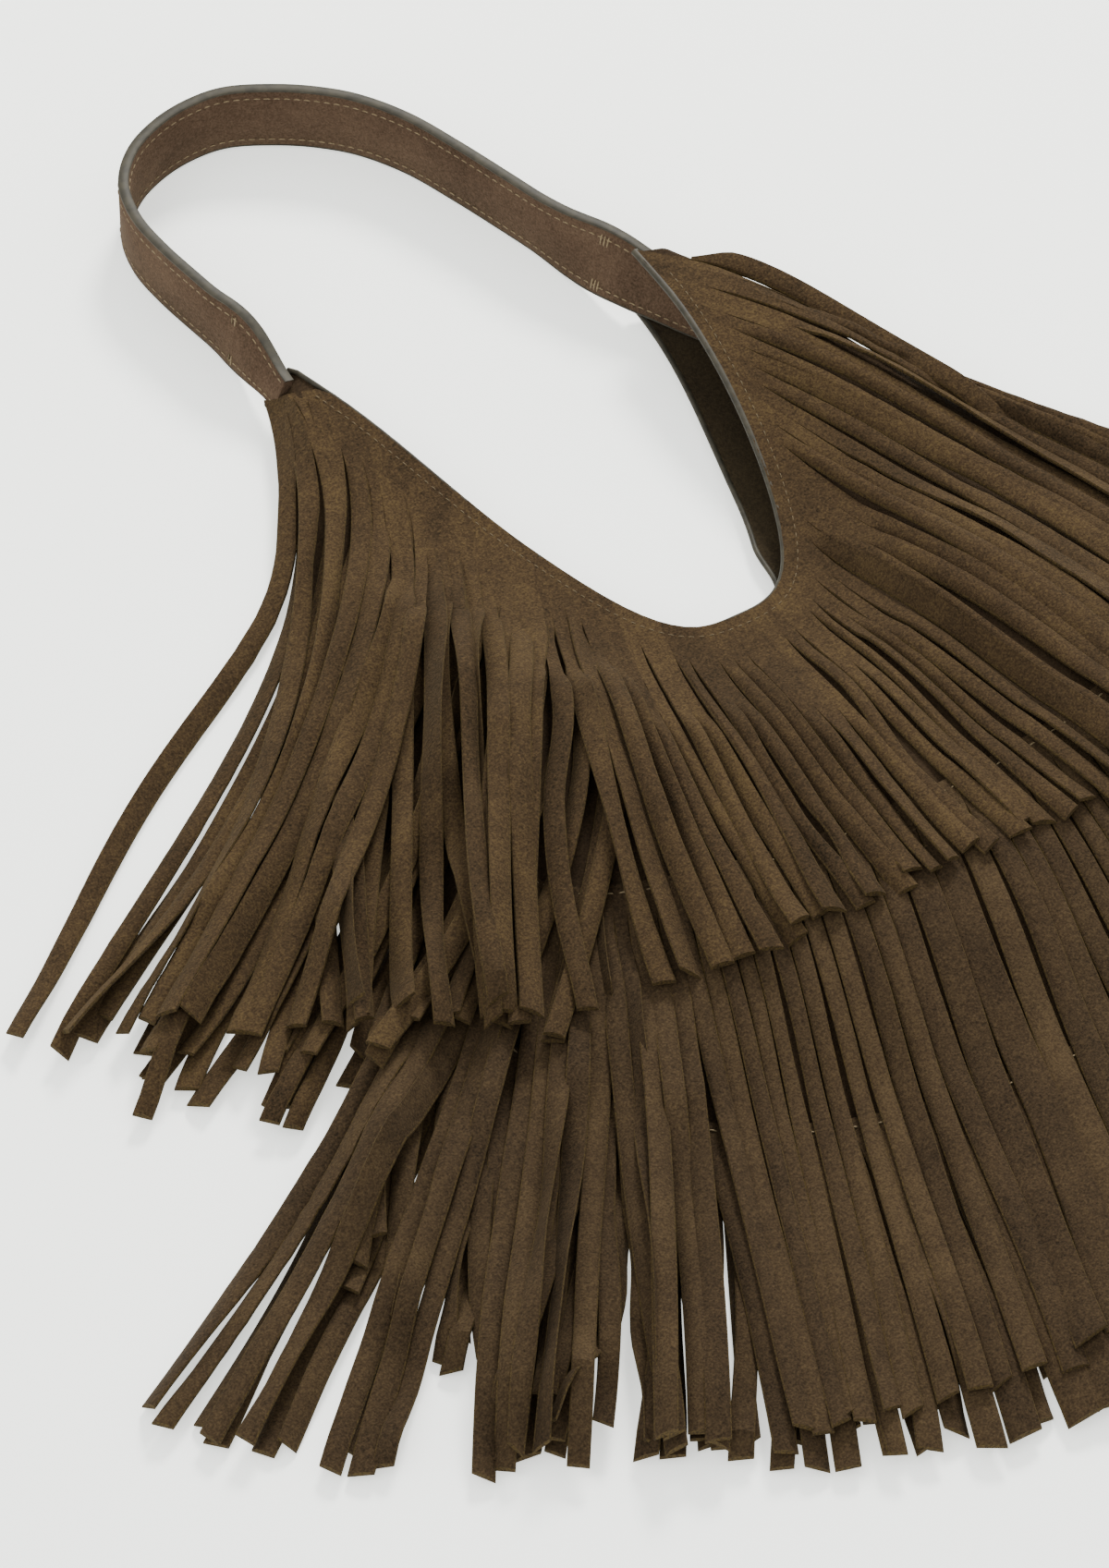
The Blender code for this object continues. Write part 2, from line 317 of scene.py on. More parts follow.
def across_of(line):
    along = np.gradient(line, axis=0)
    along /= np.maximum(np.linalg.norm(along, axis=1), 1e-6)[:, None]
    return along, np.stack([-along[:, 1], along[:, 0]], 1)


def gape(run, opens, lens, lap):
    """Half the gap at a slit: a hair's breadth that turns into a lap, and one lens-shaped opening."""
    start, length, width = lens
    hair = SLIT_HALF - 0.5 * smooth((run - start - 40) / 90) * lap
    opening = width / 2 * np.sin(pi * np.clip((run - start) / length, 0, 1)) ** 2
    return (hair + opening) * opens


def turning(t):
    """How a loose strip turns about its own length, now and then almost on to its edge."""
    most = radians(rng.choice([12, 24, 40, 58], p=[0.35, 0.35, 0.2, 0.1]))
    return most * np.sin(2 * pi * (rng.uniform(0.4, 1.3) * t + rng.uniform(0, 1)))


def add_strips(fringe, lines, skin_z, band, sway, loose, roll=0.6, stiff=14, own=2.0,
               late=0.0, lens_width=2.4, uneven=0.9, order=None, width=STRIP, lap=0.0):
    """Lays strips between neighbouring lines; each line is (start, end, turn_start, turn_end)."""
    number = len(lines) - 1
    drape = draped(heights.z, 2, 6)
    # a slit may start to show late; each line has its own
    starts = band + np.where(rng.random(number + 1) < 0.5, 0, late) * rng.uniform(0.3, 1, number + 1)
    lenses = [(starts[k] + rng.uniform(5, 70), rng.uniform(35, 90),
               lens_width * rng.uniform(0.2, 1) * (rng.random() < 0.45)) for k in range(number + 1)]
    for k in (order if order is not None else range(number)):
        first, second = lines[k], lines[k + 1]
        chord = np.hypot(*(np.array(first[1]) - first[0]))
        count = max(int(chord / SEGMENT), 14)
        line_a, line_b = path(*first, count), path(*second, count)
        middle = (line_a + line_b) / 2
        run = np.r_[0, np.cumsum(np.hypot(*np.diff(middle, axis=0).T))]
        t = run / run[-1]
        open_a, open_b = (smooth((run - starts[j]) / 14) for j in (k, k + 1))
        both = np.minimum(open_a, open_b)
        along, across = across_of(middle)
        # across points to the right of the strip's run when the run goes down
        shift = sway[k] * t**2 + own * (rng.normal() * t**2
                                        + 0.5 * rng.normal() * np.sin(pi * t * rng.uniform(1.2, 2.6)))
        drift = (shift * smooth((run - starts[k]) / 60))[:, None]
        middle = middle + across * drift
        along, across = across_of(middle)
        wide = width * rng.uniform(0.9, 1.08)
        free = loose[k] * both * smooth((run - band) / 40)
        twisted = turning(t) * (free * smooth((run - band) / 60))
        half = across * (wide / 2 * np.cos(twisted))[:, None]
        stand = wide / 2 * np.sin(twisted)
        moved = drift * across * (1 - free)[:, None]
        hair_a, hair_b = gape(run, open_a, lenses[k], lap), gape(run, open_b, lenses[k + 1], lap)
        edge_a = line_a + moved + across * hair_a[:, None]
        edge_b = line_b + moved - across * hair_b[:, None]
        left = edge_a + (middle - half - edge_a) * free[:, None]
        right = edge_b + (middle + half - edge_b) * free[:, None]
        # the knife never leaves quite the same length or a square end
        slant = rng.uniform(-0.4, 0.4) * wide
        trim = rng.normal() * 1.8
        left[-1] += along[-1] * (slant / 2 + trim)
        right[-1] += along[-1] * (trim - slant / 2)
        core = np.linspace(0.3, 0.7, 4)[:, None, None]
        probe = left[None] + (right - left)[None] * core
        raw = heights.under(probe[..., 0], probe[..., 1]).max(axis=0) + 0.15
        lie = laid(raw, stiff)
        # near its band a strip follows the skin, further out it follows what it covers
        away = smooth((run - band) / 55)
        edges_z = []
        for edge in (left, right):
            skin = skin_z(edge[:, 0], edge[:, 1])
            cover = np.maximum(drape[heights.cells(edge[:, 0], edge[:, 1])] + 0.2, 0.2)
            edges_z.append(skin + (np.maximum(cover, np.minimum(skin, cover + 1)) - skin) * away)
        z_left, z_right = edges_z[0] + SUEDE, edges_z[1] + SUEDE
        flush = (z_left + z_right) / 2
        # where it leaves the skin a strip is still level with its neighbours
        leaves = smooth((run - band - 8) / 65)
        stacked = np.maximum(lie + SUEDE - flush, 0) * loose[k] * leaves
        # a cut strip rolls a little, and every other one rides higher than its neighbours
        tilt = roll * (rng.normal(0.5, 0.8) * np.sin(pi * np.clip(t * 1.05, 0, 1))
                       + 0.9 * rng.normal() * t)
        tilt = tilt * both
        level = uneven * (0.55 * rng.random() + 0.45 * (k % 2)) * smooth((run - starts[k]) / 40)
        z_mid = flush + (stacked + 0.3 * np.abs(tilt) + level) * both + 0.9 * np.abs(stand) * leaves
        slope = (z_right - z_left) / 2 * (1 - 0.6 * loose[k] * both) - stand
        z_left = z_left * (1 - open_a) + (z_mid - slope - tilt) * open_a
        z_right = z_right * (1 - open_b) + (z_mid + slope + tilt) * open_b
        # the tip curls, and nothing goes through the table
        curl = rng.uniform(-1.2, 2.4) * smooth((t - 0.9) / 0.1)
        z_left, z_right = z_left + curl, z_right + curl * rng.uniform(0.2, 1.4)
        lift = np.maximum(SUEDE + 0.05 - np.minimum(z_left, z_right), 0)
        z_left, z_right = z_left + lift, z_right + lift
        crown = both * rng.uniform(0.5, 1.25) * (0.6 + 0.4 * smooth(t * 1.5))
        fringe.ribbon(left, right, z_left, z_right, crown, open_a, open_b, rng.uniform(0, 1))
        heights.lay_ribbon(left, right, z_mid)


# %% [markdown]
# ## Suede and its companions
# Suede is split leather whose flesh side was buffed with abrasive paper until short fibres stand
# up. It has no gloss: light catches the fibre tips, so it shows a soft sheen at the edges of each
# form, darker and lighter patches where the nap was brushed another way, and a fine speckle.

# %% Node and colour helpers
def linear(hex_value):
    """sRGB hex to linear colour."""
    parts = [int(hex_value[k:k + 2], 16) / 255 for k in (1, 3, 5)]
    return (*[c / 12.92 if c <= 0.04045 else ((c + 0.055) / 1.055) ** 2.4 for c in parts], 1)


def add_node(tree, kind, settings=None, inputs=None):
    """One node with its settings, and its inputs set to values or linked to other outputs."""
    node = tree.nodes.new(kind)
    for key, value in (settings or {}).items():
        setattr(node, key, value)
    for key, value in (inputs or {}).items():
        if isinstance(value, bpy.types.NodeSocket):
            tree.links.new(value, node.inputs[key])
        else:
            node.inputs[key].default_value = value
    return node


def ramp_stops(node, stops):
    ramp = node.color_ramp
    while len(ramp.elements) < len(stops):
        ramp.elements.new(0.5)
    for element, (at, colour) in zip(ramp.elements, stops):
        element.position, element.color = at, colour


# how many of each the noise lays along a metre: 26 mm patches, 1.8 mm tufts and 0.8 mm specks
PATCHES_A_METRE, TUFTS_A_METRE, SPECKS_A_METRE = 38.0, 560.0, 1300.0
# how much each moves the colour along its ramp, and half the ramp's length
TUFT_SHARE, SPECK_SHARE, TONE_SHARE, RAMP = 0.34, 0.46, 0.08, 0.2


def suede(name, dark, mid, light, sheen, tint, nap):
    """Buffed suede: brushed patches, fibre tufts, a fine speckle and each strip's own tone."""
    made = bpy.data.materials.new(name)
    made.use_nodes = True
    tree = made.node_tree
    shader = tree.nodes["Principled BSDF"]
    where = add_node(tree, "ShaderNodeTexCoord").outputs["Object"]
    patches = add_node(tree, "ShaderNodeTexNoise", inputs={
        "Vector": where, "Scale": PATCHES_A_METRE, "Detail": 3.0, "Roughness": 0.55, "Distortion": 0.4})
    tufts = add_node(tree, "ShaderNodeTexNoise", inputs={
        "Vector": where, "Scale": TUFTS_A_METRE, "Detail": 4.0, "Roughness": 0.75})
    speck = add_node(tree, "ShaderNodeTexNoise", inputs={
        "Vector": where, "Scale": SPECKS_A_METRE, "Detail": 1.0, "Roughness": 0.6})
    tone = add_node(tree, "ShaderNodeAttribute", {"attribute_name": "tone"})
    mixed = 0.0
    for source, share in ((tufts, TUFT_SHARE), (patches, nap), (speck, SPECK_SHARE), (tone, TONE_SHARE)):
        mixed = add_node(tree, "ShaderNodeMath", {"operation": "MULTIPLY_ADD"}, {
            0: source.outputs["Fac"], 1: share, 2: mixed}).outputs[0]
    middle = (TUFT_SHARE + SPECK_SHARE + TONE_SHARE + nap) / 2
    colours = add_node(tree, "ShaderNodeValToRGB", inputs={"Fac": mixed})
    stops = ((middle - RAMP, dark), (middle, mid), (middle + RAMP, light))
    ramp_stops(colours, [(at, linear(colour)) for at, colour in stops])
    tree.links.new(colours.outputs["Color"], shader.inputs["Base Color"])
    height = add_node(tree, "ShaderNodeMath", {"operation": "MULTIPLY_ADD"}, {
        0: speck.outputs["Fac"], 1: 0.6, 2: tufts.outputs["Fac"]})
    bump = add_node(tree, "ShaderNodeBump", inputs={
        "Height": height.outputs[0], "Strength": 0.6, "Distance": 0.0006})
    tree.links.new(bump.outputs["Normal"], shader.inputs["Normal"])
    shader.inputs["Roughness"].default_value = 0.93
    shader.inputs["Specular IOR Level"].default_value = 0.06
    shader.inputs["Sheen Weight"].default_value = sheen
    shader.inputs["Sheen Roughness"].default_value = 0.45
    shader.inputs["Sheen Tint"].default_value = linear(tint)
    return made


OLIVE = suede("buffed suede olive", "#19140c", "#35291b", "#4b3d26", 0.055, "#a08e68", 0.26)
BROWN = suede("buffed suede brown", "#1a140d", "#33281b", "#463926", 0.05, "#8f7d60", 0.26)
# the back panel's suede is darker than the body's: painted shade for its inner face, which lies in shadow
# inside the mouth
PAINTED_SHADE_LINING = suede("lining suede with painted shade", "#1a150e", "#2a2318", "#352d1f", 0.05, "#8f7d60", 0.3)
PANEL = suede("buffed suede body", "#1b140d", "#2b2116", "#362b1d", 0.04, "#8f7d60", 0.3)
STRAP = suede("buffed suede strap", "#2c2218", "#45362a", "#554536", 0.055, "#a08e68", 0.4)


# %% [markdown]
# ## What goes with the suede
# A cut edge shows matted fibre with no nap, the strap and the mouth have a rubbery paint on their
# edges, and the thread is waxed polyester. Each is one noise for its colour and its relief, at the
# real size of its grain, because none of them shows more than that at arm's length.

# %% Raw cut, edge paint and thread
def plain_fibre(name, dark, light, scale, roughness, specular, bump_depth):
    """A fibrous or painted surface: one noise for its colour and its relief."""
    made = bpy.data.materials.new(name)
    made.use_nodes = True
    tree = made.node_tree
    shader = tree.nodes["Principled BSDF"]
    where = add_node(tree, "ShaderNodeTexCoord").outputs["Object"]
    grain = add_node(tree, "ShaderNodeTexNoise", inputs={
        "Vector": where, "Scale": scale, "Detail": 3.0})
    colours = add_node(tree, "ShaderNodeValToRGB", inputs={"Fac": grain.outputs["Fac"]})
    ramp_stops(colours, [(0.36, linear(dark)), (0.64, linear(light))])
    tree.links.new(colours.outputs["Color"], shader.inputs["Base Color"])
    bump = add_node(tree, "ShaderNodeBump", inputs={
        "Height": grain.outputs["Fac"], "Strength": 0.4, "Distance": bump_depth})
    tree.links.new(bump.outputs["Normal"], shader.inputs["Normal"])
    shader.inputs["Roughness"].default_value = roughness
    shader.inputs["Specular IOR Level"].default_value = specular
    return made


# a knife-cut edge of suede: matted fibres about 0.7 mm wide, close to the nap in colour
RAW_CUT = plain_fibre("raw cut suede edge", "#2a2115", "#45381f", 1400.0, 0.95, 0.1, 0.0004)
# edge paint: a satin, rubbery coat brushed on in two layers
EDGE_PAINT = plain_fibre("edge paint grey olive", "#262319", "#343024", 300.0, 0.6, 0.25, 0.0002)
# waxed polyester thread, 0.6 mm
THREAD = plain_fibre("waxed thread cream", "#5b4d36", "#7f6f52", 2200.0, 0.7, 0.3, 0.0001)
# the mouth's thread is matched to the suede
DARK_THREAD = plain_fibre("waxed thread olive", "#413621", "#584a30", 2200.0, 0.7, 0.3, 0.0001)
print("materials", [m.name for m in bpy.data.materials])

# %% [markdown]
# ## The back
# The bag lies on its back fringes, so they are laid first, from the table up: the long upper
# fringe, then the middle and the lower one. Their ends come out from under the bag at its sides
# and hem.

# %% Where each fringe starts and ends
UPPER_HEM_Y = -136.0
MOUTH_RUN_S = np.linspace(-1, 1, 800)
MOUTH_RUN = np.r_[0, np.cumsum(np.hypot(*np.diff(np.stack(mouth(MOUTH_RUN_S)), axis=1)))]
MOUTH_RUN -= np.interp(0, MOUTH_RUN_S, MOUTH_RUN)


def floor_skin(x, y):
    return np.full_like(np.asarray(x, float), 0.2)


def at_mouth(run):
    """The mouth's point at this distance along its edge from its lowest point."""
    x, y = mouth(np.interp(run, MOUTH_RUN, MOUTH_RUN_S))
    return float(x), float(y)


def upper_lines(first, last, count, bow=5):
    """Neat lines of the upper fringe between two hem positions, numbered by their hem's x."""
    lines = []
    for x_end in np.linspace(first, last, count + 1):
        # strips from the mouth's bottom hang straight, and those from its sides fan out
        run = np.interp(x_end, [-215, -140, -96, -45, 0, 40, 57, 80, 100, 125, 160, 196],
                        [-150, -98, -70, -28, 0, 25, 35, 62, 88, 112, 146, 170])
        start = at_mouth(run)
        y_end = UPPER_HEM_Y + 14 * smooth((-x_end - 60) / 90) + 62 * smooth((-x_end - 120) / 160)
        y_end += 64 * smooth((x_end - 75) / 120)
        direct = float(np.arctan2(x_end - start[0], start[1] - y_end))
        bend = radians(bow - 20 * smooth((x_end - 60) / 90))
        lines.append((start, (float(x_end), float(y_end)), direct - bend, direct + bend))
    return lines


def wing_lines(count, side, reach, scatter):
    """Pairs of lines for loose strips of a wing, which spill over the bag's side on to the table."""
    pairs = []
    for k in range(count):
        f = (k + rng.uniform(0.1, 0.9)) / count
        top = -MOUTH_RUN[0] if side < 0 else MOUTH_RUN[-1]
        run = side * (top - 4 - f * (top - 58))
        outer = side * 11 * smooth((0.34 - f) / 0.3)
        end = (side * np.interp(f, [0, 0.35, 0.65, 1], [278, 244, 196, 138]) * reach,
               np.interp(f, [0, 0.35, 0.65, 1], [-42, -86, -106, -124]))
        end = (end[0] + scatter * np.clip(rng.normal(), -0.9, 0.9),
               end[1] + 0.8 * scatter * rng.normal())
        start = at_mouth(run)
        direct = np.arctan2(end[0] - start[0] - outer, start[1] - end[1])
        turn_start = direct * rng.uniform(0.05, 0.45)
        turn_end = direct * rng.uniform(1.05, 1.45)
        begin, other = ((x + outer, y) for x, y in map(at_mouth, (run - side * 4.5, run + side * 4.5)))
        half = np.array([cos(turn_end), sin(turn_end)]) * 3.9
        pair = [(begin, tuple(end - half), turn_start, turn_end),
                (other, tuple(end + half), turn_start, turn_end)]
        if side < 0:
            pair[0], pair[1] = (other, pair[0][1], *pair[0][2:]), (begin, pair[1][1], *pair[1][2:])
        pairs.append(pair)
    return pairs


def sewn_lines(seam, strip, count, at, turns, extra=0.0):
    """Lines between the strips of a fringe sewn along a curved seam; turns holds their angles."""
    lines = []
    for u in np.linspace(-1, 1, count + 1):
        x, y, _ = (float(v) for v in seam(u))
        angle = radians(np.interp(u, at, turns))
        long = strip + extra * smooth((-u - 0.6) / 0.4) - 12 * smooth((u - 0.5) / 0.5)
        end = (x + long * sin(angle), y - long * cos(angle))
        lines.append(((x, y), end, angle * 0.85, angle * 1.06))
    return lines


def middle_seam(u):
    return half_moon(u, 122.0, -45.0, -104.0)


def lower_seam(u):
    return outline(np.asarray(u) * 0.52, 9.0)


MIDDLE_STRIP, LOWER_STRIP = 214.0, 130.0
MIDDLE_TURNS = ([-1, -0.8, -0.6, -0.4, 0, 0.3, 0.6, 1], [-57, -44, -29, -21, -14, 0, 22, 54])
LOWER_TURNS = ([-1, -0.6, -0.43, 0, 0.5, 1], [-44, -30, -19, -8, 12, 42])


def side_loose(count, left_from, right_from):
    """How loose each strip is: 0 in the neat part, 1 towards the ends of the fringe."""
    u = np.linspace(-1, 1, count)
    return np.maximum(smooth((-u - left_from) / 0.25), smooth((u - right_from) / 0.25))


def side_sway(count, pitch, size, calm, start=0.25):
    """At the sides strips gather in locks that sway together; in the middle they hang in order."""
    u = np.linspace(-1, 1, count)
    wild = smooth((np.abs(u) - start) / 0.3)
    gathered = clumps(count, pitch, 0.62, 2.0) + locks(count, 5, size)
    return gathered * wild + locks(count, 4, calm) * (1 - wild)


# %% [markdown]
# ## Laying the back fringes
# The wings are laid first because they hang from the peaks, then the strips under the body. All of
# them are loose, since nothing sorts the strips that the bag came to lie on.

# %% Back fringes
back_upper, back_middle, back_lower = Fringe(), Fringe(), Fringe()
for side, reach in ((-1, 0.97), (1, 0.66)):
    for pair in wing_lines(15, side, reach, 8):
        add_strips(back_upper, pair, floor_skin, 20, [0], [1], own=8)
lines = upper_lines(-140, 140, 30)
add_strips(back_upper, lines, floor_skin, 20, side_sway(30, 9, 8, 3), np.ones(30))
lines = sewn_lines(middle_seam, MIDDLE_STRIP - 4, 42, *MIDDLE_TURNS, extra=32)
add_strips(back_middle, lines, floor_skin, 9, side_sway(42, 13, 8, 5), np.ones(42), own=4)
lines = sewn_lines(lower_seam, LOWER_STRIP - 3, 44, *LOWER_TURNS)
add_strips(back_lower, lines, floor_skin, 9, side_sway(44, 10, 8, 5), np.ones(44), own=4)


def finish_fringe(name, fringe, nap):
    made = mesh_piece(name, fringe.points, fringe.faces, fringe.kinds, [nap, RAW_CUT], fringe.tones)
    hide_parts(name)
    print(name, len(fringe.faces), "faces, top", round(max(p[2] for p in fringe.points), 1), "mm")
    return made


finish_fringe("back_fringe_upper", back_upper, OLIVE)
finish_fringe("back_fringe_middle", back_middle, BROWN)
finish_fringe("back_fringe_lower", back_lower, BROWN)

# %% [markdown]
# ## The panels
# Both panels are rings of cells between the mouth and the outer edge, made 1.3 mm thick. The back
# one lies flat. The front one rises to the bag's crown and gapes at the right peak, where the
# strap stands between them.

# %% Back and front panel
def back_z(x, y):
    x, y = np.asarray(x, float), np.asarray(y, float)
    left = 4 * smooth((y - 90) / 80) * smooth((10 - x) / 50)
    return 5.0 + left


def back_mouth(s):
    """The back panel's mouth edge shows on the right, inside the gaping front one."""
    x, y = mouth(s)
    return x - 9.5 * smooth(y / 30) * (1 - 0.9 * smooth((y - 50) / 95)) * (np.asarray(s) > 0), y


def panel(name, height, edge, nap, across=25):
    s = np.linspace(-1, 1, 161)
    t = np.linspace(0, 1, across)[:, None]
    (mx, my), (ox, oy, _) = edge(s), outline(s)
    x, y = mx + (ox - mx) * t, my + (oy - my) * t
    z = height(x, y)
    rows, columns = x.shape
    points = [(a, b, c) for a, b, c in zip(x.ravel(), y.ravel(), z.ravel())]
    points += [(a, b, c - SUEDE) for a, b, c in points]
    shift, faces, kinds = rows * columns, [], []

    def wall(a, b):
        faces.append((a, b, b + shift, a + shift))
        kinds.append(1)

    for i in range(rows - 1):
        for j in range(columns - 1):
            a = i * columns + j
            quad = (a, a + columns, a + columns + 1, a + 1)
            faces.append(quad)
            faces.append(tuple(k + shift for k in reversed(quad)))
            kinds += [0, 0]
    last = (rows - 1) * columns
    for j in range(columns - 1):
        wall(j, j + 1)
        wall(last + j + 1, last + j)
    for i in range(rows - 1):
        wall((i + 1) * columns, i * columns)
        wall(i * columns + columns - 1, (i + 1) * columns + columns - 1)
    made = mesh_piece(name, points, faces, kinds, [nap, RAW_CUT], [0.5] * len(points))
    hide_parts(name)
    return made


# the back panel takes the darker suede, painted shade for the inside of the mouth
panel("back_panel", back_z, back_mouth, PAINTED_SHADE_LINING)
panel("front_panel", front_z, mouth, PANEL)
grid_x, grid_y = np.meshgrid(np.arange(-175, 176, 1.0), np.arange(-225, 170, 1.0))
mouth_half = 58 * np.cbrt(np.maximum(grid_y, 0) / 150)
mouth_mid = -17 * (np.maximum(grid_y, 0) / PEAK_LEFT) ** 2
body = (inside(grid_x, grid_y) > 0) & ~((grid_y > 0) & (np.abs(grid_x - mouth_mid) < mouth_half))
body &= grid_y < np.where(grid_x < 0, PEAK_LEFT, PEAK_RIGHT)
heights.lay(grid_x[body], grid_y[body], front_z(grid_x, grid_y)[body])
print("front panel crown", front_z(np.array([0.0]), np.array([-90.0])).round(1), "mm")

# %% [markdown]
# ## The front fringes
# The lower fringe is sewn along the body's bottom edge, the middle one on a curve inside it, and
# the upper one is the yoke along the mouth, whose long strips hide both seams and spill over the
# bag's sides on to the table.

# %% Front fringes
def over_front(x, y):
    return front_z(x, y) + 0.3


front_lower, front_middle, front_upper = Fringe(), Fringe(), Fringe()
lines = sewn_lines(lower_seam, LOWER_STRIP, 48, *LOWER_TURNS)
add_strips(front_lower, lines, over_front, 9, side_sway(48, 9, 8, 3), side_loose(48, 0.1, 0.4), own=2.5)
lines = sewn_lines(middle_seam, MIDDLE_STRIP, 60, *MIDDLE_TURNS, extra=30)
add_strips(front_middle, lines, over_front, 9, side_sway(60, 10, 9, 1.5), side_loose(60, 0.3, 0.5),
           roll=0.8, own=1.4, lens_width=1.2, lap=0.0)
pairs = wing_lines(22, -1, 1.0, 11)
for k in rng.permutation(len(pairs)):
    add_strips(front_upper, pairs[k], over_front, 30, [0], [1], own=6, roll=0.9, width=7.0)
right_lines = upper_lines(-96, 196, 40)
right_loose = 0.9 * smooth((np.linspace(1, 0, 40) - 0.92) / 0.08)
add_strips(front_upper, right_lines, over_front, 16, locks(40, 4, 2.2), right_loose,
           roll=1.5, stiff=30, own=1.9, late=45, lens_width=3.4, uneven=3.0, lap=2.0)
left_lines = upper_lines(-215, -96, 15, bow=8)
add_strips(front_upper, left_lines, over_front, 22, locks(15, 3, 9), np.ones(15), roll=1.1, own=5,
           order=rng.permutation(15), late=42, lens_width=4.0, stiff=20)
# the left peak's own strips leave one skin late, then run down the bag's side
peak_lines = []
for f in np.linspace(0, 1, 8):
    x, y = at_mouth(MOUTH_RUN[0] + 3 - f * (MOUTH_RUN[0] + 3 + 146))
    start = (x - 12 * smooth((0.4 - f) / 0.4), y)
    end = (-258 + 44 * f, -52 - 26 * f)
    direct = float(np.arctan2(end[0] - start[0], start[1] - end[1]))
    peak_lines.append((start, end, direct * 0.15, direct * 1.3))
add_strips(front_upper, peak_lines, over_front, 26, locks(7, 3, 5), np.ones(7), roll=1.2, own=3.5,
           late=55, lens_width=4.5, stiff=24)
# the outermost strip of the right peak bows up off the skin before it runs down the side
bowed = path((61.0, 135.0), (124.0, 30.0), radians(52), radians(27), 36)
_, sideways = across_of(bowed)
bow_run = np.r_[0, np.cumsum(np.hypot(*np.diff(bowed, axis=0).T))]
bow_z = draped(heights.z, 2, 14)[heights.cells(bowed[:, 0], bowed[:, 1])] + 1.2
bow_z = np.maximum(bow_z, front_z(bowed[:, 0], bowed[:, 1]) + 1.2)
bow_z += 7 * np.sin(pi * np.clip(bow_run / 50, 0, 1)) ** 2
bow_z = np.polyval(np.polyfit(bow_run, bow_z, 4), bow_run)
bow_z -= 4 * smooth((bow_run - bow_run[-1] + 25) / 25)
bow_z -= 5 * (1 - smooth(bow_run / 16))
bow_cut = smooth((bow_run - 2) / 8)
BOW_HALF = 3.6
front_upper.ribbon(bowed - sideways * BOW_HALF, bowed + sideways * BOW_HALF, bow_z - 1.2, bow_z + 0.6,
                   bow_cut * 0.5, bow_cut, bow_cut, 0.5)
finish_fringe("front_fringe_lower", front_lower, BROWN)
finish_fringe("front_fringe_middle", front_middle, BROWN)
finish_fringe("front_fringe_upper", front_upper, OLIVE)

# %% [markdown]
# ## The strap
# The strap is two layers of suede sewn wrong sides together. It stands on edge in a loop, and
# each end goes down between the peaks. Its course is a smooth curve through a few points, and the
# band leans where the bag pulls it over.

# %% Strap course
STRAP_POINTS = [(-83, 161), (-83, 173), (-84, 188), (-88, 208), (-92, 230), (-93, 247),
                (-89, 263), (-79, 275), (-66, 282), (-52, 285), (-38, 284), (-23, 277), (-10, 268),
                (1, 257), (11, 241), (19, 221), (27, 198), (34, 177), (41, 159), (46, 147), (51, 136),
                (57, 125), (63, 115)]


def course(points, count):
    """A Catmull-Rom curve through the points, evenly divided."""
    points = np.array(points, float)
    ends = np.r_[[2 * points[0] - points[1]], points, [2 * points[-1] - points[-2]]]
    found = []
    for p0, p1, p2, p3 in zip(ends, ends[1:], ends[2:], ends[3:]):
        for t in np.linspace(0, 1, 20, endpoint=False):
            found.append(0.5 * (2 * p1 + (p2 - p0) * t + (2 * p0 - 5 * p1 + 4 * p2 - p3) * t**2
                                + (3 * p1 - p0 - 3 * p2 + p3) * t**3))
    found = np.array(found + [points[-1]])
    run = np.r_[0, np.cumsum(np.linalg.norm(np.diff(found, axis=0), axis=1))]
    at = np.linspace(0, run[-1], count)
    return np.stack([np.interp(at, run, found[:, k]) for k in range(2)], 1), at


STRAP_WIDTH = (strap_high.z - strap_low.z) / MM
middle, strap_run = course(STRAP_POINTS, 260)
STRAP_LENGTH = strap_run[-1]
along = np.gradient(middle, axis=0)
along /= np.linalg.norm(along, axis=1)[:, None]
outward = np.stack([-along[:, 1], along[:, 0]], 1)
print("strap", round(STRAP_LENGTH), "mm long,", round(STRAP_WIDTH, 1), "mm wide")


def lean(run):
    """How far the strap leans out of upright, in radians, outwards positive."""
    left_end = radians(-24) * (1 - smooth((run - 5) / 40))
    right_end = radians(26) * smooth((run - STRAP_LENGTH + 83) / 55)
    return left_end + right_end


def strap_point(k, offset, rise):
    """A point of the strap's section: offset outwards from its middle plane, rise up its width."""
    tip = lean(strap_run[k])
    foot = 0.8 + 2.6 * smooth((strap_run[k] - STRAP_LENGTH + 68) / 30)
    # both ends are pinched where they go into the peaks, the left one to under half its width
    pinch = 1 - 0.55 * (1 - smooth((strap_run[k] - 2) / 34))
    pinch -= 0.24 * smooth((strap_run[k] - STRAP_LENGTH + 57) / 36)
    rise = STRAP_WIDTH / 2 + (rise - STRAP_WIDTH / 2) * pinch
    out = outward[k] * (offset * cos(tip) + (rise - STRAP_WIDTH / 2) * sin(tip))
    return (*(middle[k] + out), foot + rise * cos(tip) - offset * sin(tip) * 0.5)


def band(name, slot, near, far, low, high, material):
    """A band along the strap between two offsets and two heights, with rounded long edges."""
    soft = min(abs(far - near), high - low) * 0.3
    a, b = min(near, far), max(near, far)
    section = [(a, low + soft), (a, high - soft), (a + soft, high), (b - soft, high),
               (b, high - soft), (b, low + soft), (b - soft, low), (a + soft, low)]
    points, faces, kinds = [], [], []
    count = len(section)
    for k in range(len(middle)):
        points += [strap_point(k, *p) for p in section]
    for k in range(len(middle) - 1):
        for j in range(count):
            j2 = (j + 1) % count
            faces.append((k * count + j, k * count + j2, k * count + count + j2, k * count + count + j))
            kinds.append(0)
    last = (len(middle) - 1) * count
    faces.append(tuple(reversed(range(count))))
    faces.append(tuple(last + j for j in range(count)))
    kinds += [0, 0]
    made = mesh_piece(name, points, faces, kinds, [material], [0.5] * len(points), sharp=60)
    return made


